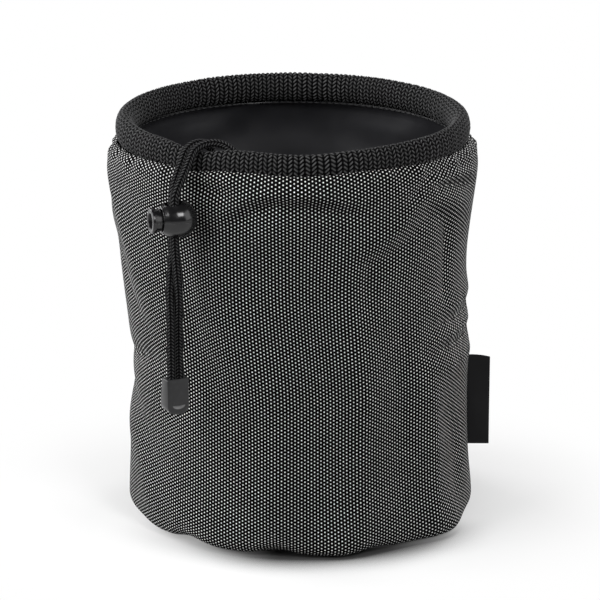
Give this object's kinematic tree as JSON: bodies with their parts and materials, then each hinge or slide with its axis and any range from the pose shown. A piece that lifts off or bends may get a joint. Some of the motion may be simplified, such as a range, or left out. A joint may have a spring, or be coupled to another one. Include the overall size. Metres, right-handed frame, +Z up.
{
  "type": "peg bag",
  "caption": "Round soft cloth peg bag with a knitted drawcord rim, hanging cord with a push-button cord lock and a moulded cord end, and a folded side label.",
  "frame": {"origin": "centre of the underside of the base cloth, which stands on the floor", "axes": "+Z up through the mouth; -Y to the front of the picture; +X to the seam with the label"},
  "size_m": [0.1705, 0.166, 0.1854],
  "materials": {
    "woven_cloth": "two-tone weave, black with pale grey points",
    "coated_lining": "smooth coated cloth",
    "rib_knit": "coarse black knit",
    "knit_cord": "round knitted cord",
    "lock_plastic": "gloss black moulding",
    "end_plastic": "satin dark grey moulding",
    "spring_steel": "drawn wire",
    "label_weave": "folded woven tape, bare"
  },
  "bodies": {
    "bag": {"outer_wall": "woven_cloth", "base_panel": "woven_cloth", "wall_lining": "coated_lining", "base_lining": "coated_lining", "rim_channel": "rib_knit", "drawcord_hoop": "knit_cord", "right_exit_strand": "knit_cord", "left_exit_strand": "knit_cord"},
    "tail": {"right_tail_strand": "knit_cord", "left_tail_strand": "knit_cord", "cord_end_shell": "end_plastic", "cord_end_cover": "end_plastic", "cord_knot": "knit_cord"},
    "lock": {"lock_barrel": "lock_plastic", "lock_spring": "spring_steel"},
    "button": {"lock_button": "lock_plastic"},
    "label": {"side_label": "label_weave"}
  },
  "joints": [
    {"name": "tail_swing", "type": "hinge", "parent": "bag", "child": "tail", "pos_m": [-0.04645, -0.06555, 0.181], "axis": [-0.8279, 0.5608, 0], "range_deg": [0, 80]},
    {"name": "lock_slide", "type": "slide", "parent": "tail", "child": "lock", "axis": [0, 0, 1], "range_m": [-0.06, 0]},
    {"name": "button_press", "type": "slide", "parent": "lock", "child": "button", "axis": [0.9511, 0.309, 0], "range_m": [0, 0.0024], "stiffness_N_per_m": 600, "springref_m": -0.002, "deforming": ["lock_spring"]},
    {"name": "label_flap", "type": "hinge", "parent": "bag", "child": "label", "pos_m": [0.07709, 0, 0.0485], "axis": [0, 0, 1], "range_deg": [-35, 35], "stiffness_Nm_per_rad": 0.0001}
  ]
}
